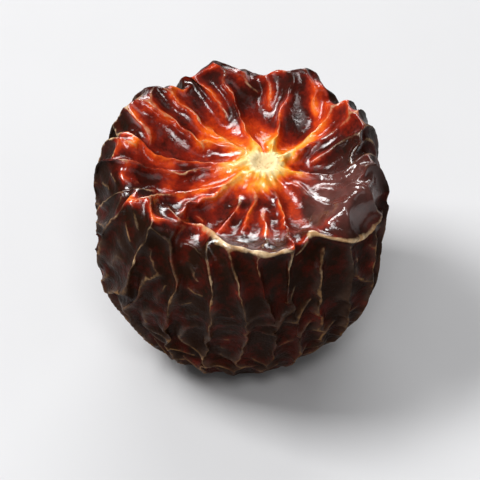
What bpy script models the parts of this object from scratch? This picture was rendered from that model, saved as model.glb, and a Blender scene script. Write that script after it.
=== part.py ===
"""A wiri wiri pepper: one whole dried pod of a small round chilli.

The pod stands on its blossom end, where it has dried to a small flat spot. Its crown has sunk into
a shallow dish around the pale scar of the stalk. The skin lies in eight uneven lobes around the
dish, and in pleats that run over the rim and down the sides.

The origin is the centre of the flat spot, and +Z goes up through the pod to the scar.
"""

import math

import bmesh
import bpy

MM = 0.001

# Sizes of the whole pod.
POD_WIDTH = 14.2 * MM
POD_DEPTH = 13.4 * MM
FOOT_RADIUS = 2.5 * MM

# The outline of a pod of 14 mm, from the edge of the flat spot up to the edge of the scar, as
# (distance from the axis, height).
OUTLINE_WIDTH = 14.0 * MM
OUTLINE = [
    (2.5 * MM, 0.0 * MM),
    (4.2 * MM, 0.55 * MM),
    (5.7 * MM, 2.1 * MM),
    (6.6 * MM, 4.1 * MM),
    (7.0 * MM, 6.4 * MM),
    (6.95 * MM, 8.5 * MM),
    (6.6 * MM, 10.2 * MM),
    (6.1 * MM, 11.15 * MM),
    (5.4 * MM, 11.3 * MM),
    (4.6 * MM, 10.7 * MM),
    (3.3 * MM, 10.2 * MM),
    (2.0 * MM, 10.05 * MM),
    (0.75 * MM, 10.2 * MM),
]
STEPS_BETWEEN_POINTS = 2

# Where the skin sinks between its folds, it moves toward a ring inside the pod.
SINK_RING_RADIUS = 2.6 * MM
SINK_RING_HEIGHT = 5.6 * MM

# The scar of the stalk: a small disc with a low edge, beside the middle of the dish.
SCAR_FLOOR_RADIUS = 0.5 * MM
SCAR_FLOOR_DROP = 0.12 * MM
SCAR_SHIFT = (1.2 * MM, 0.0)

# The lobes around the rim, counterclockwise from FIRST_LOBE_ANGLE, in degrees: how wide each one
# is, how many pleats it holds, how high its rim stands and how far it reaches out.
FIRST_LOBE_ANGLE = -71.0
LOBES = [
    (50.0, 4, 0.05 * MM, 0.15 * MM),
    (48.0, 4, 0.30 * MM, -0.10 * MM),
    (36.0, 2, 0.00 * MM, 0.05 * MM),
    (32.0, 2, 0.20 * MM, -0.15 * MM),
    (42.0, 3, 0.00 * MM, 0.20 * MM),
    (38.0, 3, -0.35 * MM, 0.10 * MM),
    (42.0, 3, 0.10 * MM, -0.05 * MM),
    (72.0, 5, -0.55 * MM, 0.40 * MM),
]

# The groove between two lobes, and how much of it is left on the sides and on the crown. A lower
# power makes it narrower and sharper.
LOBE_DEPTH = 0.9 * MM
LOBE_ON_SIDES = 0.5
LOBE_ON_CROWN = 0.75
GROOVE_POWER = 0.6

# Pleats differ in depth, and they lean one way and the other around the pod.
SEGMENTS_PER_PLEAT = 4
PLEAT_DEPTH = 0.38 * MM
PLEAT_ON_CROWN = 0.5
PLEAT_DEPTH_CHANGE = 0.45
PLEAT_DEPTH_WAVES = (5.0, 2.0)
PLEAT_LEAN = math.radians(8.0)
PLEAT_LEAN_WAVES = 3.0
PLEAT_LEAN_TWIST = 5.0

# Along the outline a point's level runs from 0 at the foot to 1 at the scar. The rim, the crown and
# the sides each have the level where they are strongest, and how far they spread from it.
RIM_LEVEL = (0.60, 0.36)
CROWN_LEVEL = (0.80, 0.24)
SIDES_LEVEL = (0.42, 0.42)
SCAR_SHIFT_POWER = 4

# Broad hollows where the flesh has shrunk more: their direction in degrees, their height, how far
# they spread and how deep they are.
DENTS = [
    (-118.0, 4.2 * MM, 4.2 * MM, 0.55 * MM),
    (-20.0, 6.5 * MM, 3.6 * MM, 0.60 * MM),
    (65.0, 4.0 * MM, 4.5 * MM, 0.70 * MM),
    (150.0, 7.0 * MM, 3.8 * MM, 0.55 * MM),
    (-165.0, 2.6 * MM, 3.4 * MM, 0.45 * MM),
]

SKIN_COLOUR = (0.085, 0.016, 0.012, 1.0)
SKIN_ROUGHNESS = 0.28
SHARP_FOLD_ANGLE = math.radians(50.0)


def clear_scene():
    for old_object in list(bpy.data.objects):
        bpy.data.objects.remove(old_object, do_unlink=True)


def catmull_rom(before, start, end, after, share):
    """One coordinate of the smooth curve from start to end, at a share from 0 to 1."""
    linear = end - before
    square = 2.0 * before - 5.0 * start + 4.0 * end - after
    cube = 3.0 * (start - end) + after - before
    return start + 0.5 * share * (linear + share * (square + share * cube))


def smooth_outline(points, steps):
    """The outline's points, with steps - 1 more on a smooth curve between each pair."""
    last = len(points) - 1
    curve = []
    for index in range(last):
        before = points[max(index - 1, 0)]
        after = points[min(index + 2, last)]
        around = [before, points[index], points[index + 1], after]
        for step in range(steps):
            share = step / steps
            radius = catmull_rom(*[point[0] for point in around], share)
            height = catmull_rom(*[point[1] for point in around], share)
            curve.append((radius, max(height, 0.0)))
    curve.append(points[last])
    return curve


def bell(place, middle, half_width):
    """1 at the middle, falling smoothly to 0 at half_width on either side."""
    distance = min(abs(place - middle) / half_width, 1.0)
    return 0.5 + 0.5 * math.cos(math.pi * distance)


def pleat_depth(angle, step):
    """How deep the skin lies between two pleats, at one step across a lobe."""
    across = (step % SEGMENTS_PER_PLEAT) / SEGMENTS_PER_PLEAT
    quick = math.sin(PLEAT_DEPTH_WAVES[0] * math.radians(angle))
    slow = math.cos(PLEAT_DEPTH_WAVES[1] * math.radians(angle))
    return PLEAT_DEPTH * (1.0 + PLEAT_DEPTH_CHANGE * quick * slow) * math.sin(math.pi * across)


def pleat_columns():
    """One entry for each column of points around the pod, from the lobes and their pleats.

    Each entry is the column's angle, its place across its lobe from 0 to 1, how deep it lies in
    its pleat, and the lobe's rise and reach there, blended with the lobes beside it.
    """
    columns = []
    angle = FIRST_LOBE_ANGLE
    for index, (span, pleats, rise, reach) in enumerate(LOBES):
        previous = LOBES[index - 1]
        following = LOBES[(index + 1) % len(LOBES)]
        count = pleats * SEGMENTS_PER_PLEAT
        for step in range(count):
            across = step / count
            neighbour = previous if across < 0.5 else following
            own_share = 0.5 + 0.5 * math.sin(math.pi * across)
            columns.append((
                math.radians(angle + span * across),
                across,
                pleat_depth(angle + span * across, step),
                own_share * rise + (1.0 - own_share) * neighbour[2],
                own_share * reach + (1.0 - own_share) * neighbour[3],
            ))
        angle += span
    return columns


def dent_depth(angle, radius, height):
    """How deep the broad hollows are at one point of the skin."""
    depth = 0.0
    for direction, middle, spread, deepest in DENTS:
        turn = math.remainder(angle - math.radians(direction), 2.0 * math.pi)
        distance = math.hypot(turn * radius, height - middle)
        depth += deepest * bell(distance, 0.0, spread)
    return depth


def skin_point(column, radius, height, level):
    """The point of the skin on one column, at one level of the outline from 0, foot, to 1, scar."""
    angle, across_lobe, pleat, rise, reach = column
    rim = bell(level, *RIM_LEVEL)
    crown = bell(level, *CROWN_LEVEL)
    sides = bell(level, *SIDES_LEVEL)
    groove = 1.0 - math.sin(math.pi * across_lobe) ** GROOVE_POWER
    sink = LOBE_DEPTH * groove * max(rim, LOBE_ON_SIDES * sides, LOBE_ON_CROWN * crown)
    sink += pleat * max(sides, PLEAT_ON_CROWN * crown)
    sink += dent_depth(angle, radius, height)
    inward = SINK_RING_RADIUS - radius
    downward = SINK_RING_HEIGHT - height
    distance = math.hypot(inward, downward)
    radius = radius + sink * inward / distance + reach * rim
    height = height + sink * downward / distance + rise * rim
    lean = PLEAT_LEAN * math.sin(PLEAT_LEAN_WAVES * angle + PLEAT_LEAN_TWIST * level) * sides
    toward_scar = level ** SCAR_SHIFT_POWER
    x = radius * math.cos(angle + lean) * POD_WIDTH / OUTLINE_WIDTH + SCAR_SHIFT[0] * toward_scar
    y = radius * math.sin(angle + lean) * POD_DEPTH / OUTLINE_WIDTH + SCAR_SHIFT[1] * toward_scar
    return (x, y, height)


def add_ring(mesh, points):
    return [mesh.verts.new(point) for point in points]


def join_rings(mesh, lower, upper):
    """A band of four-sided faces between two rings."""
    count = len(lower)
    for index in range(count):
        following = (index + 1) % count
        mesh.faces.new((lower[index], lower[following], upper[following], upper[index]))


def close_ring(mesh, ring, centre, facing_up):
    """A disc of triangles that closes a ring."""
    middle = mesh.verts.new(centre)
    count = len(ring)
    for index in range(count):
        corner = ring[index]
        following = ring[(index + 1) % count]
        mesh.faces.new((corner, following, middle) if facing_up else (following, corner, middle))


def foot_ring(columns):
    """The edge of the flat spot, a plain ellipse."""
    return [
        (
            FOOT_RADIUS * math.cos(column[0]) * POD_WIDTH / OUTLINE_WIDTH,
            FOOT_RADIUS * math.sin(column[0]) * POD_DEPTH / OUTLINE_WIDTH,
            0.0,
        )
        for column in columns
    ]


def scar_floor_ring(columns, height):
    return [
        (
            SCAR_FLOOR_RADIUS * math.cos(column[0]) + SCAR_SHIFT[0],
            SCAR_FLOOR_RADIUS * math.sin(column[0]) + SCAR_SHIFT[1],
            height,
        )
        for column in columns
    ]


def build_skin():
    """The whole outside of the pod as one closed mesh."""
    columns = pleat_columns()
    curve = smooth_outline(OUTLINE, STEPS_BETWEEN_POINTS)
    last = len(curve) - 1

    mesh = bmesh.new()
    ring = add_ring(mesh, foot_ring(columns))
    close_ring(mesh, ring, (0.0, 0.0, 0.0), facing_up=False)
    for index in range(1, last + 1):
        radius, height = curve[index]
        points = [skin_point(column, radius, height, index / last) for column in columns]
        upper = add_ring(mesh, points)
        join_rings(mesh, ring, upper)
        ring = upper

    floor_height = curve[last][1] - SCAR_FLOOR_DROP
    floor = add_ring(mesh, scar_floor_ring(columns, floor_height))
    join_rings(mesh, ring, floor)
    close_ring(mesh, floor, (SCAR_SHIFT[0], SCAR_SHIFT[1], floor_height), facing_up=True)
    return mesh


def skin_material():
    """Glossy dried skin, a maroon that is nearly black."""
    material = bpy.data.materials.new("dried_skin")
    material.use_nodes = True
    shader = material.node_tree.nodes["Principled BSDF"]
    shader.inputs["Base Color"].default_value = SKIN_COLOUR
    shader.inputs["Roughness"].default_value = SKIN_ROUGHNESS
    shader.inputs["Metallic"].default_value = 0.0
    return material


def make_pod():
    mesh = bpy.data.meshes.new("dried_pod")
    skin = build_skin()
    skin.to_mesh(mesh)
    skin.free()
    mesh.shade_smooth()
    mesh.set_sharp_from_angle(angle=SHARP_FOLD_ANGLE)
    pod = bpy.data.objects.new("dried_pod", mesh)
    pod.data.materials.append(skin_material())
    bpy.context.collection.objects.link(pod)


clear_scene()
make_pod()
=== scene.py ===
# %% [markdown]
# # A dried wiri wiri pepper
#
# This pepper is a small round chilli that has been dried whole. Its skin kept the area that it had
# on the plump fresh fruit, while the flesh below it shrank. The spare skin had to go somewhere, so it
# lies in folds: they meet at the pale scar of the stalk, run over the rim of the sunken crown and
# down the sides. Thin skin around the scar lets light through and glows orange, and here that glow
# is painted into the skin's colour. The rest has turned a maroon that is almost black.
#
# The solid made before this script gives the pod's real size and its main shape. Here a skin is
# laid over that solid, dried by a small simulation, and given its finish.

# %% Load the fixed frame
import math

import bmesh
import bpy
import numpy as np
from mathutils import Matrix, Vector


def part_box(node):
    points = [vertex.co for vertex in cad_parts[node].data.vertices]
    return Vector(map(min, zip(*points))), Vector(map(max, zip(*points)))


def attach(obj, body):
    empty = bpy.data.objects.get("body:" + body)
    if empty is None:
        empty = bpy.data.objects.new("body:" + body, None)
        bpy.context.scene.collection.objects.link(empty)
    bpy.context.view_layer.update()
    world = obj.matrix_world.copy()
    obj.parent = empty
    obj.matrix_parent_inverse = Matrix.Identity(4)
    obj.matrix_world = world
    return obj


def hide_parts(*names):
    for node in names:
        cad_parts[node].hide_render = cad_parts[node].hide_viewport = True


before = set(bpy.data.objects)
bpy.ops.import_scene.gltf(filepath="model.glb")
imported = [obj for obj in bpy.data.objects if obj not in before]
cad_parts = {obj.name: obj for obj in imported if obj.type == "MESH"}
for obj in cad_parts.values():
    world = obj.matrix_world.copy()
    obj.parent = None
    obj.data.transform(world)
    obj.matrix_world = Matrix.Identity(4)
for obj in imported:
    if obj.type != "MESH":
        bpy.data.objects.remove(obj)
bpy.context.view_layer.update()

MM = 0.001
pod_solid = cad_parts["dried_pod"]
pod_low, pod_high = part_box("dried_pod")
pod_middle = (pod_low + pod_high) / 2
print("pod, in mm:", [round((high - low) / MM, 2) for low, high in zip(pod_low, pod_high)])

# %% [markdown]
# ## The camera
#
# The photograph looks down at the pod by 48 degrees, from 21 degrees to the left of its front, and
# from so far away that a thing of 14 mm shows no perspective to speak of. A camera close to the pod
# would swell its near side. This one stays half a metre away and takes a long lens, as if the
# photograph had been cropped to the one pod.

# %% Camera
VIEW_TURN = math.radians(-21.4)
VIEW_DOWN = math.radians(48.0)
VIEW_DISTANCE = 0.50
NEAREST_SEEN = 0.01
POD_SHARE_OF_FRAME = 0.64
AIM_DROP = 0.4 * MM


def direction_to(turn, up):
    """From the pod to a place around it. Turn 0 is straight ahead of its front, in radians."""
    return Vector((
        math.sin(turn) * math.cos(up),
        -math.cos(turn) * math.cos(up),
        math.sin(up),
    ))


toward_camera = direction_to(VIEW_TURN, VIEW_DOWN)
aim_point = pod_middle - Vector((0, 0, AIM_DROP))
pod_width = pod_high.x - pod_low.x

camera_data = bpy.data.cameras.new("photo_view")
camera_data.lens = camera_data.sensor_width * VIEW_DISTANCE * POD_SHARE_OF_FRAME / pod_width
camera_data.clip_start = NEAREST_SEEN
camera = bpy.data.objects.new("photo_view", camera_data)
camera.location = aim_point + toward_camera * VIEW_DISTANCE
camera.rotation_euler = toward_camera.to_track_quat("Z", "Y").to_euler()
bpy.context.scene.collection.objects.link(camera)
bpy.context.scene.camera = camera
print("lens, in mm:", round(camera_data.lens, 1))

# %% [markdown]
# ## Wiring a material
#
# A material in Blender is a graph of nodes. Adding a node takes the same few steps each time: make
# it, set its options, then give each of its inputs either a value or a link from another node. One
# helper does all of that, and returns the node.

# %% Helpers for shader nodes
def add_node(tree, kind, settings=None, inputs=None):
    """Adds a shader node. An input is given by its name or number, as a value or as a socket."""
    node = tree.nodes.new(kind)
    for name, value in (settings or {}).items():
        setattr(node, name, value)
    for name, value in (inputs or {}).items():
        if isinstance(value, bpy.types.NodeSocket):
            tree.links.new(value, node.inputs[name])
        else:
            node.inputs[name].default_value = value
    return node


def new_material(name):
    """A material with only a Principled BSDF and its output. Returns it and its shader."""
    material = bpy.data.materials.new(name)
    material.use_nodes = True
    return material, material.node_tree.nodes["Principled BSDF"]


# %% [markdown]
# ## Uneven gloss
#
# Neither dried skin nor white card is equally smooth all over. One node group makes that for both:
# a noise that keeps its real size on anything, spread between a smoothest and a roughest value. A
# noise node seldom leaves the middle of its range, so only that middle is spread out. Each material
# places the group with its own numbers.

# %% Node group for uneven gloss
NOISE_LOW = 0.3
NOISE_HIGH = 0.7
NOISE_DETAIL = 3.0
NOISE_ROUGHNESS = 0.55

uneven_gloss = bpy.data.node_groups.new("uneven_gloss", "ShaderNodeTree")
for socket_name in ("Patches per metre", "Smoothest", "Roughest"):
    uneven_gloss.interface.new_socket(socket_name, in_out="INPUT", socket_type="NodeSocketFloat")
uneven_gloss.interface.new_socket("Roughness", in_out="OUTPUT", socket_type="NodeSocketFloat")

gloss_inputs = add_node(uneven_gloss, "NodeGroupInput").outputs
gloss_noise = add_node(uneven_gloss, "ShaderNodeTexNoise", inputs={
    "Vector": add_node(uneven_gloss, "ShaderNodeNewGeometry").outputs["Position"],
    "Scale": gloss_inputs["Patches per metre"],
    "Detail": NOISE_DETAIL,
    "Roughness": NOISE_ROUGHNESS,
})
gloss_range = add_node(uneven_gloss, "ShaderNodeMapRange", inputs={
    "Value": gloss_noise.outputs["Fac"],
    "From Min": NOISE_LOW,
    "From Max": NOISE_HIGH,
    "To Min": gloss_inputs["Smoothest"],
    "To Max": gloss_inputs["Roughest"],
})
add_node(uneven_gloss, "NodeGroupOutput", inputs={"Roughness": gloss_range.outputs["Result"]})
print("sockets of the gloss group:", [socket.name for socket in uneven_gloss.interface.items_tree])


def place_uneven_gloss(tree, per_metre, smoothest, roughest):
    """Places the group in a material and returns its roughness."""
    return add_node(tree, "ShaderNodeGroup", {"node_tree": uneven_gloss}, {
        "Patches per metre": per_metre, "Smoothest": smoothest, "Roughest": roughest,
    }).outputs["Roughness"]


# %% [markdown]
# ## The floor
#
# The pod stands on plain white card. A disc is enough, because the camera looks down and never sees
# a horizon. It is wide, so that no edge of it shows from the low views either. Its white is not the
# brightest that card can have: a dark glossy skin mirrors the floor, and would look grey beside a
# brighter one.

# %% Floor
FLOOR_RADIUS = 8.0
FLOOR_CORNERS = 96
FLOOR_WHITE = (0.68, 0.68, 0.69, 1.0)
CARD_PATCHES_PER_METRE = 200.0
CARD_SMOOTHEST = 0.6
CARD_ROUGHEST = 0.8

floor_mesh = bpy.data.meshes.new("floor")
floor_shape = bmesh.new()
bmesh.ops.create_circle(floor_shape, cap_ends=True, segments=FLOOR_CORNERS, radius=FLOOR_RADIUS)
floor_shape.to_mesh(floor_mesh)
floor_shape.free()
floor = bpy.data.objects.new("floor", floor_mesh)
bpy.context.scene.collection.objects.link(floor)

white_card, card_shader = new_material("white_card")
card_shader.inputs["Base Color"].default_value = FLOOR_WHITE
card_roughness = place_uneven_gloss(
    white_card.node_tree, CARD_PATCHES_PER_METRE, CARD_SMOOTHEST, CARD_ROUGHEST)
white_card.node_tree.links.new(card_roughness, card_shader.inputs["Roughness"])
floor_mesh.materials.append(white_card)
print("floor, in m across:", 2 * FLOOR_RADIUS)

# %% [markdown]
# ## The light
#
# The light of the photograph comes from the upper left, and the shadow falls to the lower right.
# Its highlights are small and very white, while the skin between them stays dark. A glossy thing
# shows what surrounds it, so a bright room would lay a grey veil over the skin. Here the room is dim
# and soft lamps do the work: the key from the upper left, one behind the pod whose light glances off
# the wet-looking dish, one above the front for the near side of the dish, and weak ones that keep the
# sides and the shadow open.

# %% Lamps
def add_lamp(name, turn, up, distance, width, height, power):
    """A soft flat lamp that faces the pod. Turn and up are in degrees, sizes in metres."""
    lamp = bpy.data.lights.new(name, "AREA")
    lamp.shape = "RECTANGLE"
    lamp.size = width
    lamp.size_y = height
    lamp.energy = power
    holder = bpy.data.objects.new(name, lamp)
    direction = direction_to(math.radians(turn), math.radians(up))
    holder.location = pod_middle + direction * distance
    holder.rotation_euler = direction.to_track_quat("Z", "Y").to_euler()
    bpy.context.scene.collection.objects.link(holder)
    print(name + ", in W:", power)


add_lamp("key_lamp", turn=-120, up=55, distance=0.45, width=0.17, height=0.17, power=1.75)
add_lamp("sky_lamp", turn=-60, up=78, distance=0.55, width=0.26, height=0.26, power=0.26)
add_lamp("front_lamp", turn=-15, up=62, distance=0.55, width=0.14, height=0.14, power=0.60)
add_lamp("back_lamp", turn=158, up=19, distance=0.60, width=0.50, height=0.16, power=2.60)
add_lamp("fill_lamp", turn=50, up=35, distance=0.60, width=0.35, height=0.35, power=0.20)
add_lamp("low_lamp", turn=-50, up=10, distance=0.60, width=0.30, height=0.06, power=0.50)

# %% Surroundings
ROOM_COLOUR = (0.95, 0.97, 1.0, 1.0)
ROOM_BRIGHTNESS = 0.07

surroundings = bpy.data.worlds.new("studio")
surroundings.use_nodes = True
room = surroundings.node_tree.nodes["Background"]
room.inputs["Color"].default_value = ROOM_COLOUR
room.inputs["Strength"].default_value = ROOM_BRIGHTNESS
bpy.context.scene.world = surroundings
bpy.context.scene.view_settings.view_transform = "Standard"
print("brightness of the room:", ROOM_BRIGHTNESS)

# %% [markdown]
# ## A skin to dry
#
# The skin needs many small faces of equal size, wherever they lie, or its folds would follow the
# lines of the mesh. The Remesh modifier in voxel mode gives that from any closed shape. The skin's
# mesh is worked on in millimetres, because voxels and distances of a real pod are very small numbers
# in metres, and it goes back to metres at the end.

# %% Cover the solid with small even faces
FACE_SIZE = 0.13
SAME_POINT = 0.001 * MM

skin_shape = bmesh.new()
skin_shape.from_mesh(pod_solid.data)
bmesh.ops.remove_doubles(skin_shape, verts=skin_shape.verts, dist=SAME_POINT)
bmesh.ops.scale(skin_shape, vec=(1 / MM, 1 / MM, 1 / MM), verts=skin_shape.verts)
rough_mesh = bpy.data.meshes.new("rough_skin")
skin_shape.to_mesh(rough_mesh)
skin_shape.free()

pod = bpy.data.objects.new("whole_pod", rough_mesh)
bpy.context.scene.collection.objects.link(pod)
remesh = pod.modifiers.new("even_faces", "REMESH")
remesh.mode = "VOXEL"
remesh.voxel_size = FACE_SIZE
split = pod.modifiers.new("triangles", "TRIANGULATE")
split.quad_method = "SHORTEST_DIAGONAL"
covered_pod = pod.evaluated_get(bpy.context.evaluated_depsgraph_get())
skin_mesh = bpy.data.meshes.new_from_object(covered_pod)
pod.modifiers.clear()
pod.data = skin_mesh
skin_mesh.name = "whole_pod"
bpy.data.meshes.remove(rough_mesh)
print("skin:", len(skin_mesh.vertices), "points,", len(skin_mesh.polygons), "triangles")

# %% [markdown]
# ## The skin as a net
#
# For the simulation the skin is a net of threads, one for each edge of the mesh. Blender hands over
# points, triangles and edges as flat lists, which numpy works on all at once. Each thread is kept
# twice, once from either end, and sorted by the end it starts from. All that a point needs from its
# neighbours is then one sum over a stretch of the list, which numpy's reduceat does quickly.

# %% Rows of vectors
NO_LENGTH = 1e-9


def unit(vectors):
    """The same directions, each with a length of one."""
    return vectors / np.maximum(np.linalg.norm(vectors, axis=1), NO_LENGTH)[:, None]


def along(vectors, directions):
    """How much of each vector lies along its direction, as one number a row."""
    return np.einsum("ij,ij->i", vectors, directions)


def read_values(collection, field, width, kind):
    """One field of a Blender collection as a numpy array, with width numbers to a row."""
    values = np.empty(len(collection) * width, dtype=kind)
    collection.foreach_get(field, values)
    return values.reshape(-1, width)


# %% A mesh as a net
class Net:
    """The points, triangles and threads of a mesh."""

    def __init__(self, mesh):
        self.count = len(mesh.vertices)
        self.points = read_values(mesh.vertices, "co", 3, np.float32).astype(np.float64)
        self.triangles = read_values(mesh.polygons, "vertices", 3, np.int32)
        edges = read_values(mesh.edges, "vertices", 2, np.int32)
        near_end = np.concatenate([edges[:, 0], edges[:, 1]])
        far_end = np.concatenate([edges[:, 1], edges[:, 0]])
        order = np.argsort(near_end, kind="stable")
        self.near_end = near_end[order]
        self.far_end = far_end[order]
        self.first_thread = np.searchsorted(self.near_end, np.arange(self.count))
        self.threads_at_point = np.bincount(near_end, minlength=self.count)[:, None].astype(np.float64)

    def sum_at_points(self, thread_values):
        """For each point, the sum over the threads that start there."""
        return np.add.reduceat(thread_values, self.first_thread, axis=0)

    def toward_neighbours(self, values):
        """From each point's own value to the mean of its neighbours' values."""
        neighbours = self.sum_at_points(np.take(values, self.far_end, axis=0))
        return neighbours / self.threads_at_point - values

    def outward(self, points):
        """The direction out of the skin at each point."""
        corners = points[self.triangles]
        facing = np.cross(corners[:, 1] - corners[:, 0], corners[:, 2] - corners[:, 0])
        total = np.zeros_like(points)
        for corner in range(3):
            for axis in range(3):
                total[:, axis] += np.bincount(self.triangles[:, corner], facing[:, axis], self.count)
        return unit(total)


net = Net(skin_mesh)
print("threads:", len(net.near_end) // 2)

# %% [markdown]
# ## Soft shapes for values
#
# Much of what follows says where on the pod something happens, as a number for each point. Two soft
# shapes do most of that work: a step that rises without a corner, and a bell that fades on both
# sides of its middle. A blend then turns such a share into any other pair of values.

# %% A soft step, a bell and a blend
def smooth_step(values, start, end):
    """Rises from 0 at start to 1 at end, with no corner at either."""
    share = np.clip((values - start) / (end - start), 0.0, 1.0)
    return share ** 2 * (3.0 - 2.0 * share)


def bell(values, spread):
    """Falls from 1 at 0 towards 0 on both sides."""
    return np.exp(-(values / spread) ** 2)


def blend(first, last, share):
    """From first, where the share is 0, to last, where it is 1."""
    return first + (last - first) * share


QUARTERS = np.linspace(0.0, 1.0, 5)
print("a soft step by quarters:", smooth_step(QUARTERS, 0.0, 1.0).round(2))
print("a bell by quarters:", bell(QUARTERS, 1.0).round(2))

# %% [markdown]
# Real skin differs from place to place, and so do its folds. That unevenness is a sum of many waves
# that run in random directions. It depends only on where a point is, so the pod dries in the same
# way however the mesh numbers its points.

# %% Soft random patches
WAVE_COUNT = 120


def patches(points, size, seed):
    """A random value for each point, with a spread of one, in soft patches of about this size."""
    random = np.random.default_rng(seed)
    waves = random.normal(size=(3, WAVE_COUNT)) / size
    starts = random.uniform(0.0, 2.0 * math.pi, WAVE_COUNT)
    return np.cos(points @ waves + starts).sum(axis=1) * math.sqrt(2.0 / WAVE_COUNT)


# %% [markdown]
# ## The shrunken flesh
#
# Below the folds the flesh is a softer form of the same pod. A few rounds of smoothing take the
# sharp pleats off the solid and leave its lobes, its dish and its hollows. Each round moves every
# point halfway to the mean of its neighbours. The flesh also sits a little below the solid's
# surface, except at the foot, so that the folds which rise from it end where the solid does, and the
# pod keeps its real size.

# %% Soften the solid into the flesh
SMOOTHING_ROUNDS = 20
SMOOTHING = 0.5
FLESH_DEPTH = 0.15
FULL_DEPTH_FROM = 1.5
FOOT_HEIGHT = 0.05

flesh = net.points.copy()
for _ in range(SMOOTHING_ROUNDS):
    flesh += SMOOTHING * net.toward_neighbours(flesh)

outward = net.outward(flesh)
on_foot = flesh[:, 2] < FOOT_HEIGHT
flesh -= outward * (FLESH_DEPTH * smooth_step(flesh[:, 2], 0.0, FULL_DEPTH_FROM))[:, None]
flesh[:, 2] = np.maximum(flesh[:, 2], 0.0)
outward = net.outward(flesh)
print("points on the flat spot:", int(on_foot.sum()))

# %% [markdown]
# ## The sharp front edge
#
# The front of this pod's rim is drawn up into a thin sharp lip with one notch in it. It belongs to
# the form below the skin, so it is raised on the flesh before the skin is dried. The lip follows the
# rim, which lies at a nearly fixed angle from the pod's axis, as seen from a point inside the pod.
# It leans out a little further at the front, and right of the notch it sags over the shoulder. A
# soft noise lets it wander from that line.

# %% Where the rim runs
HEART_HEIGHT = 5.6
RIM_ANGLE = math.radians(45.0)
FRONT_RIM_ANGLE = math.radians(49.5)
LEAN_STARTS = math.radians(-130.0)
LEAN_ENDS = math.radians(-86.0)
RIGHT_RIM_ANGLE = math.radians(57.0)
SAG_STARTS = math.radians(-78.0)
SAG_ENDS = math.radians(-58.0)
RIM_RADIUS = 7.6
LIP_WANDER = 0.14

turn = np.arctan2(flesh[:, 1], flesh[:, 0])
angle_from_top = np.arctan2(np.hypot(flesh[:, 0], flesh[:, 1]), flesh[:, 2] - HEART_HEIGHT)
rim_angle = blend(RIM_ANGLE, FRONT_RIM_ANGLE, smooth_step(turn, LEAN_STARTS, LEAN_ENDS))
rim_angle = blend(rim_angle, RIGHT_RIM_ANGLE, smooth_step(turn, SAG_STARTS, SAG_ENDS))
from_rim = (angle_from_top - rim_angle) * RIM_RADIUS + LIP_WANDER * patches(flesh, size=1.2, seed=12)
print("rim, in degrees from the axis: to", round(float(np.degrees(rim_angle.max())), 1))

# %% Raise the lip
LIP_STARTS = math.radians(-156.0)
LIP_ENDS = math.radians(-34.0)
LIP_FADE = math.radians(16.0)
LIP_NOTCH = math.radians(-83.0)
NOTCH_WIDTH = math.radians(4.0)
NOTCH_DEPTH = 0.9
LIP_HEIGHT = 0.36
LIP_WIDTH = 0.20
LIP_SHARPNESS = 1.5
FRONT_RIM_WIDTH = 1.2
MOSTLY = 0.5

along_lip = smooth_step(turn, LIP_STARTS, LIP_STARTS + LIP_FADE)
along_lip *= smooth_step(turn, LIP_ENDS, LIP_ENDS - LIP_FADE)
along_lip *= 1.0 - NOTCH_DEPTH * bell(turn - LIP_NOTCH, NOTCH_WIDTH)
lip = along_lip * np.exp(-np.abs(from_rim / LIP_WIDTH) ** LIP_SHARPNESS)
front_rim = along_lip * bell(from_rim, FRONT_RIM_WIDTH)
flesh += outward * (LIP_HEIGHT * lip)[:, None]
outward = net.outward(flesh)
print("points on the lip:", int((lip > MOSTLY).sum()))

# %% [markdown]
# ## Which way the folds run
#
# Folds stand across the direction in which there is spare skin. A round fruit shrinks most around
# its waist, so there is more spare skin around the pod than up and down, and the folds run up and
# down. In the crown they turn to meet at the scar. Around and along are worked out for each point,
# about a centre line that bends from the middle of the pod to the scar. Then both are turned a
# little by a soft noise, because real folds wander.

# %% Directions around and along the pod
SCAR_PLACE = (1.2, 0.0)
SCAR_HEIGHT = 10.0
CROWN_STARTS = math.radians(15.0)
CROWN_ENDS = math.radians(60.0)
WANDER = math.radians(20.0)

crown_share = smooth_step(angle_from_top, CROWN_ENDS, CROWN_STARTS)
across_x = flesh[:, 0] - SCAR_PLACE[0] * crown_share
across_y = flesh[:, 1] - SCAR_PLACE[1] * crown_share
scar_radius = np.hypot(across_x, across_y)

around = np.stack([-across_y, across_x, np.zeros(net.count)], axis=1)
around = unit(around - outward * along(around, outward)[:, None])
lengthwise = np.cross(outward, around)
wander = (WANDER * patches(flesh, size=2.4, seed=11))[:, None]
around, lengthwise = (
    around * np.cos(wander) + lengthwise * np.sin(wander),
    lengthwise * np.cos(wander) - around * np.sin(wander),
)
print("mean turn of the folds, in degrees:", round(float(np.degrees(np.abs(wander).mean())), 1))

# %% [markdown]
# ## How much spare skin there is
#
# Every thread gets a new length, its length once the skin has outgrown the flesh. The share that is
# added around the pod is large, the share along it small, and both differ from patch to patch. Low
# on the pod more is added along it, which gives the small cross folds there. At the flat spot and
# right at the scar the skin is fast to what lies under it, and adds almost nothing.
#
# Two places of this pod stand out in the photograph. Right of the scar the skin is one smooth glossy
# face, so nearly all spare skin is taken from it. And no folds cut through the sharp front edge, so
# there is little spare skin around the pod along the front of the rim.

# %% Where the skin is held
FREE_AT_SCAR = 0.2
FREE_AT_FOOT = 0.15
HELD_BY_SCAR_ABOVE = 8.0
SCAR_HOLD_EASES = 0.5
SCAR_HOLD_ENDS = 2.4
FOOT_HOLD_ENDS = 2.0
SMOOTH_FACE_PLACE = (3.4, -3.3, 10.6)
SMOOTH_FACE_SPREAD = 2.0
SMOOTH_FACE_CALM = 0.95

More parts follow.
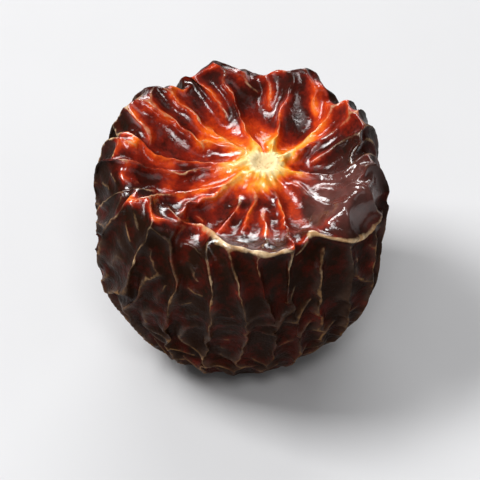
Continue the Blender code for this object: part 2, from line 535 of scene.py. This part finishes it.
smooth_face = bell(np.linalg.norm(flesh - np.array(SMOOTH_FACE_PLACE), axis=1), SMOOTH_FACE_SPREAD)
free_near_scar = blend(FREE_AT_SCAR, 1.0, smooth_step(scar_radius, SCAR_HOLD_EASES, SCAR_HOLD_ENDS))
free_near_scar = np.where(flesh[:, 2] > HELD_BY_SCAR_ABOVE, free_near_scar, 1.0)
free_near_foot = blend(FREE_AT_FOOT, 1.0, smooth_step(flesh[:, 2], 0.0, FOOT_HOLD_ENDS))
free = free_near_scar * free_near_foot * (1.0 - SMOOTH_FACE_CALM * smooth_face)
print("mean freedom of the skin:", round(float(free.mean()), 2))

# %% Spare skin
SPARE_AROUND = 0.30
SPARE_ALONG = 0.06
SPARE_ALONG_LOW_DOWN = 1.6
LOW_DOWN_TO = 2.0
HIGH_UP_FROM = 8.0
PATCHINESS = 0.3
PATCH_SIZE = 2.2
FRONT_RIM_CALM = 0.85

up_the_side = smooth_step(flesh[:, 2], LOW_DOWN_TO, HIGH_UP_FROM)
spare_around = SPARE_AROUND * (1.0 + PATCHINESS * patches(flesh, size=PATCH_SIZE, seed=3))
spare_around *= free * (1.0 - FRONT_RIM_CALM * front_rim)
spare_along = SPARE_ALONG * (1.0 + PATCHINESS * patches(flesh, size=PATCH_SIZE, seed=4))
spare_along *= free * blend(SPARE_ALONG_LOW_DOWN, 1.0, up_the_side)
print("most spare skin around the pod:", round(float(spare_around.max()), 2))

# %% [markdown]
# A thread runs in any direction, so its length has a part around the pod and a part along it. Each
# part grows by its own share, and the two give the new length. Directions are first carried from the
# points to the threads between them.

# %% New lengths for the threads
def at_threads(point_values):
    """The mean of the values at a thread's two ends."""
    return 0.5 * (point_values[net.near_end] + point_values[net.far_end])


def directions_at_threads(directions):
    """The middle of the directions at a thread's two ends, also where those point opposite ways."""
    there = directions[net.near_end]
    other = directions[net.far_end]
    same_way = np.where(along(there, other) < 0.0, -1.0, 1.0)[:, None]
    return unit(there + same_way * other)


thread_vectors = flesh[net.far_end] - flesh[net.near_end]
flesh_lengths = np.linalg.norm(thread_vectors, axis=1)
part_around = along(thread_vectors, directions_at_threads(around))
part_along = along(thread_vectors, directions_at_threads(lengthwise))
part_left = np.maximum(flesh_lengths ** 2 - part_around ** 2 - part_along ** 2, 0.0)
skin_lengths = np.sqrt(
    (part_around * (1.0 + at_threads(spare_around))) ** 2
    + (part_along * (1.0 + at_threads(spare_along))) ** 2
    + part_left
)
print("mean spare length:", round(float((skin_lengths / flesh_lengths).mean() - 1.0), 3))

# %% [markdown]
# ## Drying
#
# The skin starts on the flesh with slight random bumps, and its threads grow to their new lengths.
# Four forces move each point. A thread that is too short for its length pushes its ends apart. The
# skin resists bending. The flesh holds the skin, more firmly against being pressed in than against
# lifting off. And a little friction takes the speed away.
#
# Dried skin has sharp crests and wide, smooth valleys. That comes from one choice: bending inwards,
# as in a valley, meets the full stiffness, and bending outwards, as on a crest, only a part of it.
#
# Blender's Cloth could dry a skin too, but its folds come out equally round both ways.

# %% The forces on the skin
STIFFNESS = 1.0
CREST_STIFFNESS = 0.15
CREST_TURNOVER = 0.004
FLESH_HOLD = 0.006
FLESH_HOLD_INWARD = 3.0
FLESH_HOLD_SIDEWAYS = 0.3

outward_32 = outward.astype(np.float32)
thread_share = (1.0 / net.threads_at_point).astype(np.float32)


def bending_force(bend):
    """The push that flattens each bend of the skin, with soft crests and stiff valleys."""
    bend_inward = along(bend, outward_32)
    stiffness = STIFFNESS * (
        CREST_STIFFNESS + (1.0 - CREST_STIFFNESS) / (1.0 + np.exp(-bend_inward / CREST_TURNOVER))
    )
    moment = bend * stiffness[:, None]
    return moment - net.sum_at_points(np.take(moment * thread_share, net.far_end, axis=0))


def flesh_force(offset):
    """The flesh's pull on skin that has been lifted, pressed in or slid along."""
    lift = along(offset, outward_32)
    hold = np.where(lift < 0.0, FLESH_HOLD * FLESH_HOLD_INWARD, FLESH_HOLD)
    slide = offset - outward_32 * lift[:, None]
    return -outward_32 * (hold * lift)[:, None] - FLESH_HOLD * FLESH_HOLD_SIDEWAYS * slide


# %% [markdown]
# The simulation takes small steps in time. In each one the forces change every point's speed, and
# the speed moves the point. The threads reach their new lengths halfway through, and the skin
# settles in the other half. Points at the flat spot stay where they are, and none goes below it.

# %% Let the skin outgrow the flesh
DRYING_STEPS = 400
GROWING_SHARE = 0.5
TIME_STEP = 0.35
FRICTION = 0.06
FIRST_BUMPS = 0.01

flesh_32 = flesh.astype(np.float32)
start_lengths = flesh_lengths.astype(np.float32)
growth = (skin_lengths - flesh_lengths).astype(np.float32)
flesh_bend = net.toward_neighbours(flesh).astype(np.float32)

first_bumps = FIRST_BUMPS * patches(flesh, size=0.4, seed=5)
skin = (flesh + outward * first_bumps[:, None]).astype(np.float32)
speed = np.zeros_like(skin)
for step in range(DRYING_STEPS):
    grown = min(1.0, (step + 1) / (GROWING_SHARE * DRYING_STEPS))
    threads = np.take(skin, net.far_end, axis=0) - np.take(skin, net.near_end, axis=0)
    lengths = np.sqrt(along(threads, threads))
    force = net.sum_at_points(threads * (1.0 - (start_lengths + grown * growth) / lengths)[:, None])
    force += bending_force(net.sum_at_points(threads) * thread_share - flesh_bend)
    force += flesh_force(skin - flesh_32)
    speed = (speed + TIME_STEP * force) * (1.0 - FRICTION)
    skin += TIME_STEP * speed
    skin[on_foot] = flesh_32[on_foot]
    speed[on_foot] = 0.0
    np.maximum(skin[:, 2], 0.0, out=skin[:, 2])

skin = skin.astype(np.float64)
lift = along(skin - flesh, outward)
print("folds, in mm: from", round(float(lift.min()), 2), "to", round(float(lift.max()), 2))

# %% [markdown]
# ## Back to Blender
#
# The crests come out of the simulation slightly ragged, so the skin gets one light round of
# smoothing before its points go back into the mesh. Four values go with them as attributes, because
# Blender then passes them on to every point that is added later: how high the skin was lifted, where
# the lip and the smooth face are, and where the dish is. The dish is the skin high on the pod that
# faces up or towards the axis, not out from it.

# %% Put the dried skin into the mesh
CREASE_SMOOTHING = 0.4
DISH_FACING_STARTS = -0.75
DISH_FACING_FULL = -0.2
DISH_HEIGHT_STARTS = 6.0
DISH_HEIGHT_FULL = 9.0
LEVEL_PART = (1.0, 1.0, 0.0)


def store_value(name, values):
    """Keeps one number with each point of the skin's mesh."""
    attribute = skin_mesh.attributes.new(name, "FLOAT", "POINT")
    attribute.data.foreach_set("value", values.astype(np.float32))


skin[~on_foot] += CREASE_SMOOTHING * net.toward_neighbours(skin)[~on_foot]
skin_mesh.vertices.foreach_set("co", skin.ravel())
skin_mesh.update()

away_from_axis = unit(flesh * LEVEL_PART)
facing_axis = -along(outward, away_from_axis)
in_dish = smooth_step(facing_axis, DISH_FACING_STARTS, DISH_FACING_FULL)
in_dish *= smooth_step(flesh[:, 2], DISH_HEIGHT_STARTS, DISH_HEIGHT_FULL)
store_value("lift", lift)
store_value("front_edge", lip)
store_value("smooth_face", smooth_face)
store_value("in_dish", in_dish)
print("share of the skin in the dish:", round(float(in_dish.mean()), 2))

# %% [markdown]
# ## The scar of the stalk
#
# The stalk broke off and left a corky disc of a little over a millimetre, with a raised edge, a
# hollow middle and many small pores. Around it the skin is drawn together in short, fine ribs. The
# triangles of the skin are too large for that, so those near the scar are first cut in four, twice.
# Then each point there is smoothed a little, and moves up or down by its distance from the middle of
# the scar.

# %% Smaller triangles near the scar
SCAR_DETAIL_REACH = 1.7
SCAR_CUTS = 2


def stored_value(name):
    """The numbers that were kept, now also for the points that have been added."""
    return read_values(skin_mesh.attributes[name].data, "value", 1, np.float32)[:, 0].astype(np.float64)


scar_middle = Vector((*SCAR_PLACE, SCAR_HEIGHT))
fine_shape = bmesh.new()
fine_shape.from_mesh(skin_mesh)
for _ in range(SCAR_CUTS):
    near_scar = [edge for edge in fine_shape.edges
                 if all((vert.co - scar_middle).length < SCAR_DETAIL_REACH for vert in edge.verts)]
    bmesh.ops.subdivide_edges(fine_shape, edges=near_scar, cuts=1)
    bmesh.ops.triangulate(fine_shape, faces=[face for face in fine_shape.faces if len(face.verts) > 3])
fine_shape.to_mesh(skin_mesh)
fine_shape.free()

fine_net = Net(skin_mesh)
skin = fine_net.points
lift = stored_value("lift")
in_dish = stored_value("in_dish")
smooth_face = stored_value("smooth_face")
print("skin with its scar:", fine_net.count, "points,", len(fine_net.triangles), "triangles")

# %% Distances from the scar
SCAR_DEPTH_REACH = 1.0
SCAR_SMOOTHING_ROUNDS = 6
SCAR_SMOOTHING = 0.5
SCAR_UNEVENNESS = 0.07

from_scar = skin - np.array(scar_middle)
scar_radius = np.hypot(from_scar[:, 0], from_scar[:, 1])
scar_turn = np.arctan2(from_scar[:, 1], from_scar[:, 0])
at_scar = (scar_radius < SCAR_DETAIL_REACH) & (np.abs(from_scar[:, 2]) < SCAR_DEPTH_REACH)
for _ in range(SCAR_SMOOTHING_ROUNDS):
    skin[at_scar] += SCAR_SMOOTHING * fine_net.toward_neighbours(skin)[at_scar]
uneven_radius = scar_radius * (1.0 + SCAR_UNEVENNESS * patches(skin, size=0.5, seed=31))
print("points near the scar:", int(at_scar.sum()))

# %% Edge, hollow and ribs of the scar
RING_RADIUS = 0.56
RING_WIDTH = 0.13
RING_RISE = 0.12
RING_UNEVENNESS = 0.3
HOLLOW_FLAT = 0.15
HOLLOW_DEPTH = 0.14
SCAR_ROUGHNESS = 0.012
RIB_COUNT = 17
RIB_WANDER = 1.5
RIB_HEIGHT = 0.05
RIB_REACH = 0.40

ring = bell(uneven_radius - RING_RADIUS, RING_WIDTH)
hollow = 1.0 - smooth_step(uneven_radius, HOLLOW_FLAT, RING_RADIUS)
ribs = np.cos(RIB_COUNT * scar_turn + RIB_WANDER * patches(skin, size=0.6, seed=33))
ribs *= bell(uneven_radius - RING_RADIUS - RIB_REACH, RIB_REACH)
rise = (
    RING_RISE * ring * (1.0 + RING_UNEVENNESS * patches(skin, size=0.25, seed=34))
    - HOLLOW_DEPTH * hollow
    + SCAR_ROUGHNESS * hollow * patches(skin, size=0.045, seed=35)
    + RIB_HEIGHT * ribs
)
print("points on the scar's edge:", int((ring > MOSTLY).sum()))

# %% Pores of the scar
PORE_COUNT = 34
PORE_DEPTH = 0.05
PORE_RADIUS = 0.035
PORE_REACH = 0.50
FAINTEST_PORE = 0.2

pores = np.zeros(fine_net.count)
pore_places = np.random.default_rng(32)
for _ in range(PORE_COUNT):
    pore_turn = pore_places.uniform(0.0, 2.0 * math.pi)
    pore_distance = PORE_REACH * math.sqrt(pore_places.uniform())
    pore_strength = pore_places.uniform(FAINTEST_PORE, 1.0)
    pore_x = from_scar[:, 0] - pore_distance * math.cos(pore_turn)
    pore_y = from_scar[:, 1] - pore_distance * math.sin(pore_turn)
    pores += pore_strength * bell(np.hypot(pore_x, pore_y), PORE_RADIUS)
rise -= PORE_DEPTH * pores

skin[at_scar, 2] += rise[at_scar]
skin_mesh.vertices.foreach_set("co", (skin * MM).ravel())
skin_mesh.update()
skin_mesh.shade_smooth()
print("scar, in mm: from", round(float(rise[at_scar].min()), 2), "to", round(float(rise[at_scar].max()), 2))

# %% [markdown]
# ## What the material needs to know
#
# The finish follows the folds, so more values go with each point of the mesh, where the material
# reads them as attributes. One tells how sharply the skin bends outwards, which is where folds are
# painted pale. Another tells ridges from valleys, and a third how far down the pod a point is.

# %% Crests, ridges and height
CREST_BEND = 0.03
USUAL_LIFT_PERCENTILE = 92
LOW_DOWN_BELOW = 7.0
HIGH_UP_ABOVE = 10.5

outward_bend = -along(fine_net.toward_neighbours(skin), fine_net.outward(skin))
crest = np.clip(outward_bend / CREST_BEND, 0.0, 1.0)
usual_lift = np.percentile(np.abs(lift), USUAL_LIFT_PERCENTILE)
ridge = np.clip(0.5 + 0.5 * lift / usual_lift, 0.0, 1.0)
store_value("crest", crest)
store_value("ridge", ridge)
store_value("low_down", 1.0 - smooth_step(skin[:, 2], LOW_DOWN_BELOW, HIGH_UP_ABOVE))
print("skin that is a sharp crest:", round(float((crest > MOSTLY).mean()), 3))

# %% [markdown]
# ## The painted glow around the scar
#
# Where light comes through the thin skin, the pod glows. Here that glow is painted light, laid into
# the skin's colour: it is 1 at the scar and falls to 0 in the dark skin. It reaches out from the scar
# in flames, each with its own direction, reach and width, as the photograph shows them, and is dimmer
# in the valleys, a painted shade. Between the flames the dish keeps a dull red in patches, most of all
# on its ridges: partly the dish's own red and partly painted glow. The smooth face has little of it.

# %% Flames
# Each flame: its direction in degrees, counted from +X towards +Y, its reach in mm and its width.
FLAMES = [
    (18.0, 7.4, 12.0),
    (68.0, 4.8, 19.0),
    (111.0, 5.2, 14.0),
    (141.0, 3.2, 10.0),
    (170.0, 7.0, 13.0),
    (205.0, 5.2, 11.0),
    (239.0, 2.8, 9.0),
    (272.0, 4.8, 11.0),
    (325.0, 2.8, 12.0),
]
LEAST_REACH = 1.9
FLAME_WANDER = 9.0
REACH_VARIES = 0.12
SCAR_SIZE = 0.48
GLOW_SHARE_OF_REACH = 0.7
GLOW_SHARPNESS = 1.35
GLOW_IN_VALLEYS = 0.6
DIM_RIDGE = 0.1
BRIGHT_RIDGE = 0.7

direction = np.degrees(scar_turn) + FLAME_WANDER * patches(skin, size=0.9, seed=21)
reach = np.full(fine_net.count, LEAST_REACH)
for flame_direction, flame_reach, flame_width in FLAMES:
    off_flame = (direction - flame_direction + 180.0) % 360.0 - 180.0
    reach += (flame_reach - LEAST_REACH) * bell(off_flame, flame_width)
reach *= 1.0 + REACH_VARIES * patches(skin, size=0.5, seed=22)

past_scar = np.maximum(np.linalg.norm(from_scar, axis=1) - SCAR_SIZE, 0.0)
painted_glow = np.exp(-(past_scar / (GLOW_SHARE_OF_REACH * reach)) ** GLOW_SHARPNESS)
# Painted shade: the painted glow is dimmer in the valleys of the folds.
painted_glow *= blend(GLOW_IN_VALLEYS, 1.0, smooth_step(ridge, DIM_RIDGE, BRIGHT_RIDGE))
print("reach of the flames, in mm: from", round(float(reach.min()), 1), "to", round(float(reach.max()), 1))

# %% Dull red and painted glow between the flames
CROWN_RED_AND_GLOW = 0.44
USUAL_RED = 0.72
RED_VARIES = 0.50
RED_LEAST = 0.05
RED_MOST = 1.15
RED_IN_VALLEYS = 0.38
DULL_RIDGE = 0.15
RED_RIDGE = 0.95
SMOOTH_FACE_DULL = 0.7

red_patches = USUAL_RED + RED_VARIES * patches(skin, size=0.8, seed=24)
crown_red_and_glow = CROWN_RED_AND_GLOW * np.clip(red_patches, RED_LEAST, RED_MOST)
# Painted shade: the red is dimmer in the valleys of the folds.
crown_red_and_glow *= blend(RED_IN_VALLEYS, 1.0, smooth_step(ridge, DULL_RIDGE, RED_RIDGE))
painted_glow = np.maximum(painted_glow, crown_red_and_glow * (1.0 - SMOOTH_FACE_DULL * smooth_face)) * in_dish
store_value("painted_glow", painted_glow)
print("mean glow in the dish:", round(float(painted_glow[in_dish > MOSTLY].mean()), 2))

# %% Where the scar's cork shows
SCAR_FADE_STARTS = RING_RADIUS - 0.05
SCAR_FADE_ENDS = RING_RADIUS + 0.24
RIB_SHARE = 0.08
PORE_SHADE = 0.5
HOLLOW_SHADE = 0.22

scar = 1.0 - smooth_step(uneven_radius + RIB_SHARE * ribs, SCAR_FADE_STARTS, SCAR_FADE_ENDS)
scar *= in_dish
store_value("scar", scar)
# Painted shade: the pores and the hollow of the scar are darkened in its colour.
store_value("scar_pore_shade", np.clip(PORE_SHADE * pores + HOLLOW_SHADE * hollow, 0.0, 1.0) * scar)
print("points of cork:", int((scar > MOSTLY).sum()))

# %% [markdown]
# ## The finish of the skin
#
# All of the skin is one material, because it is one skin: its colours run into each other. It starts
# from a ramp of colours by warmth: almost black, maroon, red, orange, and a yellow as pale as cream.
# The warmth is the painted glow, and red patches that show in the dark skin here and there: partly
# its own red, and partly painted glow as of light shining through. Blotches and specks of noise are
# added to it, so that no border between two colours is a clean line.

# %% Helpers for the skin's nodes
dried_skin, skin_shader = new_material("dried_skin")
tree = dried_skin.node_tree
place = add_node(tree, "ShaderNodeNewGeometry").outputs["Position"]


def skin_value(name):
    """A number that was kept with the points of the skin."""
    return add_node(tree, "ShaderNodeAttribute", {"attribute_name": name}).outputs["Fac"]


def noise(per_mm, detail=NOISE_DETAIL, roughness=NOISE_ROUGHNESS):
    """A noise with this many blotches to a millimetre."""
    return add_node(tree, "ShaderNodeTexNoise", inputs={
        "Vector": place, "Scale": per_mm / MM, "Detail": detail, "Roughness": roughness,
    }).outputs["Fac"]


def fit(value, low, high, at_low=0.0, at_high=1.0):
    """Is at_low where the value is low, at_high where it is high, and in between where it is between."""
    return add_node(tree, "ShaderNodeMapRange", inputs={
        "Value": value, "From Min": low, "From Max": high, "To Min": at_low, "To Max": at_high,
    }).outputs["Result"]


def uneven(per_mm, lowest, highest):
    """A noise that wanders between two values."""
    return fit(noise(per_mm), NOISE_LOW, NOISE_HIGH, lowest, highest)


def combine(operation, result, *others):
    """Adds, multiplies or otherwise joins values, one after the other."""
    for other in others:
        step_node = add_node(tree, "ShaderNodeMath", {"operation": operation}, {0: result, 1: other})
        result = step_node.outputs["Value"]
    return result


# %% Colours by warmth
SKIN_RAMP = [
    (0.00, (0.017, 0.007, 0.004, 1.0)),
    (0.18, (0.060, 0.007, 0.004, 1.0)),
    (0.34, (0.24, 0.015, 0.006, 1.0)),
    (0.50, (0.62, 0.050, 0.008, 1.0)),
    (0.66, (0.95, 0.17, 0.012, 1.0)),
    (0.84, (1.00, 0.41, 0.038, 1.0)),
    (1.00, (1.00, 0.76, 0.29, 1.0)),
]
HIDDEN_RED_AND_GLOW = 0.30
BLOTCH_STRENGTH = 0.10
SPECK_STRENGTH = 0.05

# Red patches, stronger on the ridges: partly the skin's own red and partly painted glow.
hidden_red_and_glow = combine(
    "MULTIPLY",
    fit(noise(per_mm=0.55, detail=4.0, roughness=0.6), low=0.47, high=0.72, at_high=HIDDEN_RED_AND_GLOW),
    fit(skin_value("ridge"), low=0.2, high=0.9, at_low=0.25),
)
blotches = uneven(per_mm=0.9, lowest=-BLOTCH_STRENGTH, highest=BLOTCH_STRENGTH)
specks = uneven(per_mm=5.0, lowest=-SPECK_STRENGTH, highest=SPECK_STRENGTH)
warmth = combine("ADD", skin_value("painted_glow"), hidden_red_and_glow, blotches, specks)

# A new ramp has its two ends already, at 0 and 1.
ramp_node = add_node(tree, "ShaderNodeValToRGB", inputs={"Fac": warmth})
ramp = ramp_node.color_ramp
ramp.elements[0].color = SKIN_RAMP[0][1]
ramp.elements[-1].color = SKIN_RAMP[-1][1]
for position, colour in SKIN_RAMP[1:-1]:
    ramp.elements.new(position).color = colour
print("ramp:", [round(element.position, 2) for element in ramp.elements])

# %% [markdown]
# ## Brown ridges and a painted mauve sheen
#
# On the sides the skin that lies on the ridges is painted a dull brown, while the valleys between stay
# black and red. The smooth face right of the scar has no folds to tell apart, and there a painted
# sheen, standing for the soft light that it mirrors, turns the maroon a dull mauve. Both are laid over
# the ramp's colour by a mask, each broken up by a noise of its own.

# %% Brown and painted mauve sheen
SIDE_BROWN = (0.060, 0.026, 0.012, 1.0)
PAINTED_SHEEN_MAUVE = (0.17, 0.060, 0.050, 1.0)
MOST_BROWN = 0.75
MOST_PAINTED_SHEEN = 0.8


def mix_colours(share, first, second):
    """From the first colour to the second. Sockets 6 and 7 of a Mix node are its colours."""
    node = add_node(tree, "ShaderNodeMix", {"data_type": "RGBA"}, {"Factor": share})
    for slot, colour in ((6, first), (7, second)):
        if isinstance(colour, bpy.types.NodeSocket):
            tree.links.new(colour, node.inputs[slot])
        else:
            node.inputs[slot].default_value = colour
    return node.outputs[2]


# The ridges of the sides are painted brown.
brown_on_ridges = combine(
    "MULTIPLY",
    fit(skin_value("ridge"), low=0.45, high=0.95, at_high=MOST_BROWN),
    skin_value("low_down"),
    fit(noise(per_mm=0.8), low=0.35, high=0.62, at_low=0.15),
)
with_brown = mix_colours(brown_on_ridges, ramp_node.outputs["Color"], SIDE_BROWN)
# Painted sheen: the smooth face is turned a dull mauve for the soft light that it mirrors.
painted_sheen = combine(
    "MULTIPLY",
    fit(skin_value("smooth_face"), low=0.15, high=0.75, at_high=MOST_PAINTED_SHEEN),
    fit(noise(per_mm=1.1), low=0.35, high=0.6, at_low=0.4),
)
with_painted_sheen = mix_colours(painted_sheen, with_brown, PAINTED_SHEEN_MAUVE)
print("nodes with brown and mauve:", len(tree.nodes))

# %% [markdown]
# ## Pale crests and lip
#
# The sharpest crests are painted as thin tan lines. The bend of the skin says where, and noises of
# three sizes thin the lines and leave gaps in them. The front lip is the sharpest edge of all and
# carries the longest line. High on the pod the lines are tan to cream, low down they are a dark ochre.

# %% Pale crest lines
CREST_TAN = (0.58, 0.33, 0.15, 1.0)
CREST_PALE = (0.88, 0.64, 0.38, 1.0)
CREST_OCHRE = (0.30, 0.155, 0.055, 1.0)

uneven_crest = combine("ADD", skin_value("crest"), uneven(per_mm=1.8, lowest=-0.25, highest=0.15))
pale_crests = combine(
    "MULTIPLY",
    fit(uneven_crest, low=0.35, high=1.0),
    fit(noise(per_mm=0.45, detail=2.0), low=0.40, high=0.64, at_low=0.10),
    fit(noise(per_mm=2.5), low=0.36, high=0.6, at_low=0.2),
    fit(skin_value("smooth_face"), low=0.1, high=0.6, at_low=1.0, at_high=0.0),
)
uneven_lip = combine("ADD", skin_value("front_edge"), uneven(per_mm=1.6, lowest=-0.22, highest=0.12))
lip_line = fit(uneven_lip, low=0.62, high=0.92)
pale_crests = combine("MAXIMUM", pale_crests, lip_line)

crown_tan = mix_colours(fit(noise(per_mm=1.7), low=0.46, high=0.62, at_high=0.9), CREST_TAN, CREST_PALE)
off_lip = combine("SUBTRACT", 1.0, lip_line)
tan = mix_colours(combine("MULTIPLY", skin_value("low_down"), off_lip), crown_tan, CREST_OCHRE)
with_tan = mix_colours(pale_crests, with_painted_sheen, tan)
print("nodes with worn crests:", len(tree.nodes))

# %% [markdown]
# ## Cork of the scar
#
# The scar is dry cork, not skin: cream all over, with a brown painted shade in its pores and its hollow.

# %% Cork
SCAR_CREAM = (0.96, 0.80, 0.47, 1.0)
SCAR_PORE_SHADE_BROWN = (0.45, 0.20, 0.05, 1.0)

cork = mix_colours(skin_value("scar_pore_shade"), SCAR_CREAM, SCAR_PORE_SHADE_BROWN)
with_scar = mix_colours(skin_value("scar"), with_tan, cork)
tree.links.new(with_scar, skin_shader.inputs["Base Color"])
print("nodes with cork:", len(tree.nodes))

# %% [markdown]
# ## Gloss and wax
#
# The skin itself is only slightly glossy, and rougher on its pale crest lines and its cork. Its index
# of refraction is set low and its reflections are tinted warm, so that the white floor doesn't turn
# the dark sides grey. The wet look of the dish is a coat of the pod's own wax over it. The coat is
# nearly full in the dish, full on the smooth face, thin and only on the ridges of the sides, and
# gone on the cork. It mirrors more than plain wax, so that its highlights are as white as in the
# photograph.

# %% Gloss of the skin
GLOSS_PATCHES_PER_METRE = 1.6 / MM
SKIN_SMOOTHEST = 0.24
SKIN_ROUGHEST = 0.40
PALE_CREST_ROUGHNESS = 0.2
CORK_ROUGHNESS = 0.25
SKIN_IOR = 1.07
WARM_REFLECTION = (1.0, 0.80, 0.68, 1.0)

skin_roughness = combine(
    "ADD",
    place_uneven_gloss(tree, GLOSS_PATCHES_PER_METRE, SKIN_SMOOTHEST, SKIN_ROUGHEST),
    combine("MULTIPLY", pale_crests, PALE_CREST_ROUGHNESS),
    combine("MULTIPLY", skin_value("scar"), CORK_ROUGHNESS),
)
tree.links.new(skin_roughness, skin_shader.inputs["Roughness"])
skin_shader.inputs["IOR"].default_value = SKIN_IOR
skin_shader.inputs["Specular Tint"].default_value = WARM_REFLECTION
print("roughness of the bare skin: from", SKIN_SMOOTHEST, "to", SKIN_ROUGHEST)

# %% Coat of wax
DISH_WAX = 0.90
SIDE_WAX = 0.15
WAX_ROUGHNESS = 0.11
WAX_IOR = 1.75

side_wax = fit(skin_value("ridge"), low=0.35, high=0.85, at_high=SIDE_WAX)
wax = fit(skin_value("in_dish"), low=0.15, high=0.95, at_low=side_wax, at_high=DISH_WAX)
wax = combine("MULTIPLY", wax, fit(noise(per_mm=0.8), low=0.40, high=0.58, at_low=0.25))
wax = combine("MAXIMUM", wax, fit(skin_value("smooth_face"), low=0.2, high=0.7))
wax = combine("MULTIPLY", wax, combine("SUBTRACT", 1.0, skin_value("scar")))
tree.links.new(wax, skin_shader.inputs["Coat Weight"])
skin_shader.inputs["Coat Roughness"].default_value = WAX_ROUGHNESS
skin_shader.inputs["Coat IOR"].default_value = WAX_IOR
print("wax: in the dish", DISH_WAX, "and on the sides up to", SIDE_WAX)

# %% [markdown]
# ## Fine relief
#
# Between the folds the skin has relief that is too fine for the mesh: small dimples, an even finer
# grain, thin lines that run up and down, and crinkles. Four noises are added up, and Bump nodes bend
# the light by them. Stretching a noise's own space squeezes it along that axis, so a small scale in Z
# draws it out up and down. The wax fills part of the relief, so its bumps are half as strong.

# %% Relief
DIMPLES_PER_MM = 2.2
GRAIN_PER_MM = 9.0
GRAIN_SHARE = 0.35
LINES_PER_MM = 4.5
LINE_SQUEEZE = (1.0, 1.0, 0.22)
LINE_SHARE = 0.7
CRINKLES_PER_MM = 0.9
CRINKLE_SQUEEZE = (1.0, 1.0, 0.5)
CRINKLE_SHARE = 0.8
RELIEF_LOW_DOWN = 2.0
RELIEF_HEIGHT = 0.10 * MM
SKIN_RELIEF = 0.40
WAX_RELIEF = 0.20


def drawn_out_noise(kind, squeeze, per_mm, roughness):
    """A noise of this kind in a space that is squeezed along some axes."""
    squeezed = add_node(tree, "ShaderNodeMapping", inputs={"Vector": place, "Scale": squeeze})
    return add_node(tree, "ShaderNodeTexNoise", {"noise_type": kind}, {
        "Vector": squeezed.outputs["Vector"],
        "Scale": per_mm / MM,
        "Detail": NOISE_DETAIL,
        "Roughness": roughness,
    }).outputs["Fac"]


dimples = noise(DIMPLES_PER_MM, detail=2.0)
grain = noise(GRAIN_PER_MM, detail=4.0)
lines = drawn_out_noise("FBM", LINE_SQUEEZE, LINES_PER_MM, roughness=0.6)
crinkles = drawn_out_noise("RIDGED_MULTIFRACTAL", CRINKLE_SQUEEZE, CRINKLES_PER_MM, roughness=0.5)
relief = combine(
    "ADD",
    dimples,
    combine("MULTIPLY", grain, GRAIN_SHARE),
    combine("MULTIPLY", lines, LINE_SHARE),
    combine("MULTIPLY", crinkles, CRINKLE_SHARE),
)
deeper = fit(skin_value("low_down"), low=0.0, high=1.0, at_low=1.0, at_high=RELIEF_LOW_DOWN)
relief = combine("MULTIPLY", relief, deeper)

for strength, socket_name in ((SKIN_RELIEF, "Normal"), (WAX_RELIEF, "Coat Normal")):
    bump = add_node(tree, "ShaderNodeBump", inputs={
        "Height": relief, "Strength": strength, "Distance": RELIEF_HEIGHT,
    })
    tree.links.new(bump.outputs["Normal"], skin_shader.inputs[socket_name])

skin_mesh.materials.clear()
skin_mesh.materials.append(dried_skin)
print("nodes in the skin's material:", len(tree.nodes))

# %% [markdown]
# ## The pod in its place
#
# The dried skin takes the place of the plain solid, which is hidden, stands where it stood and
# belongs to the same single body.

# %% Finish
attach(pod, "root")
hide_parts("dried_pod")
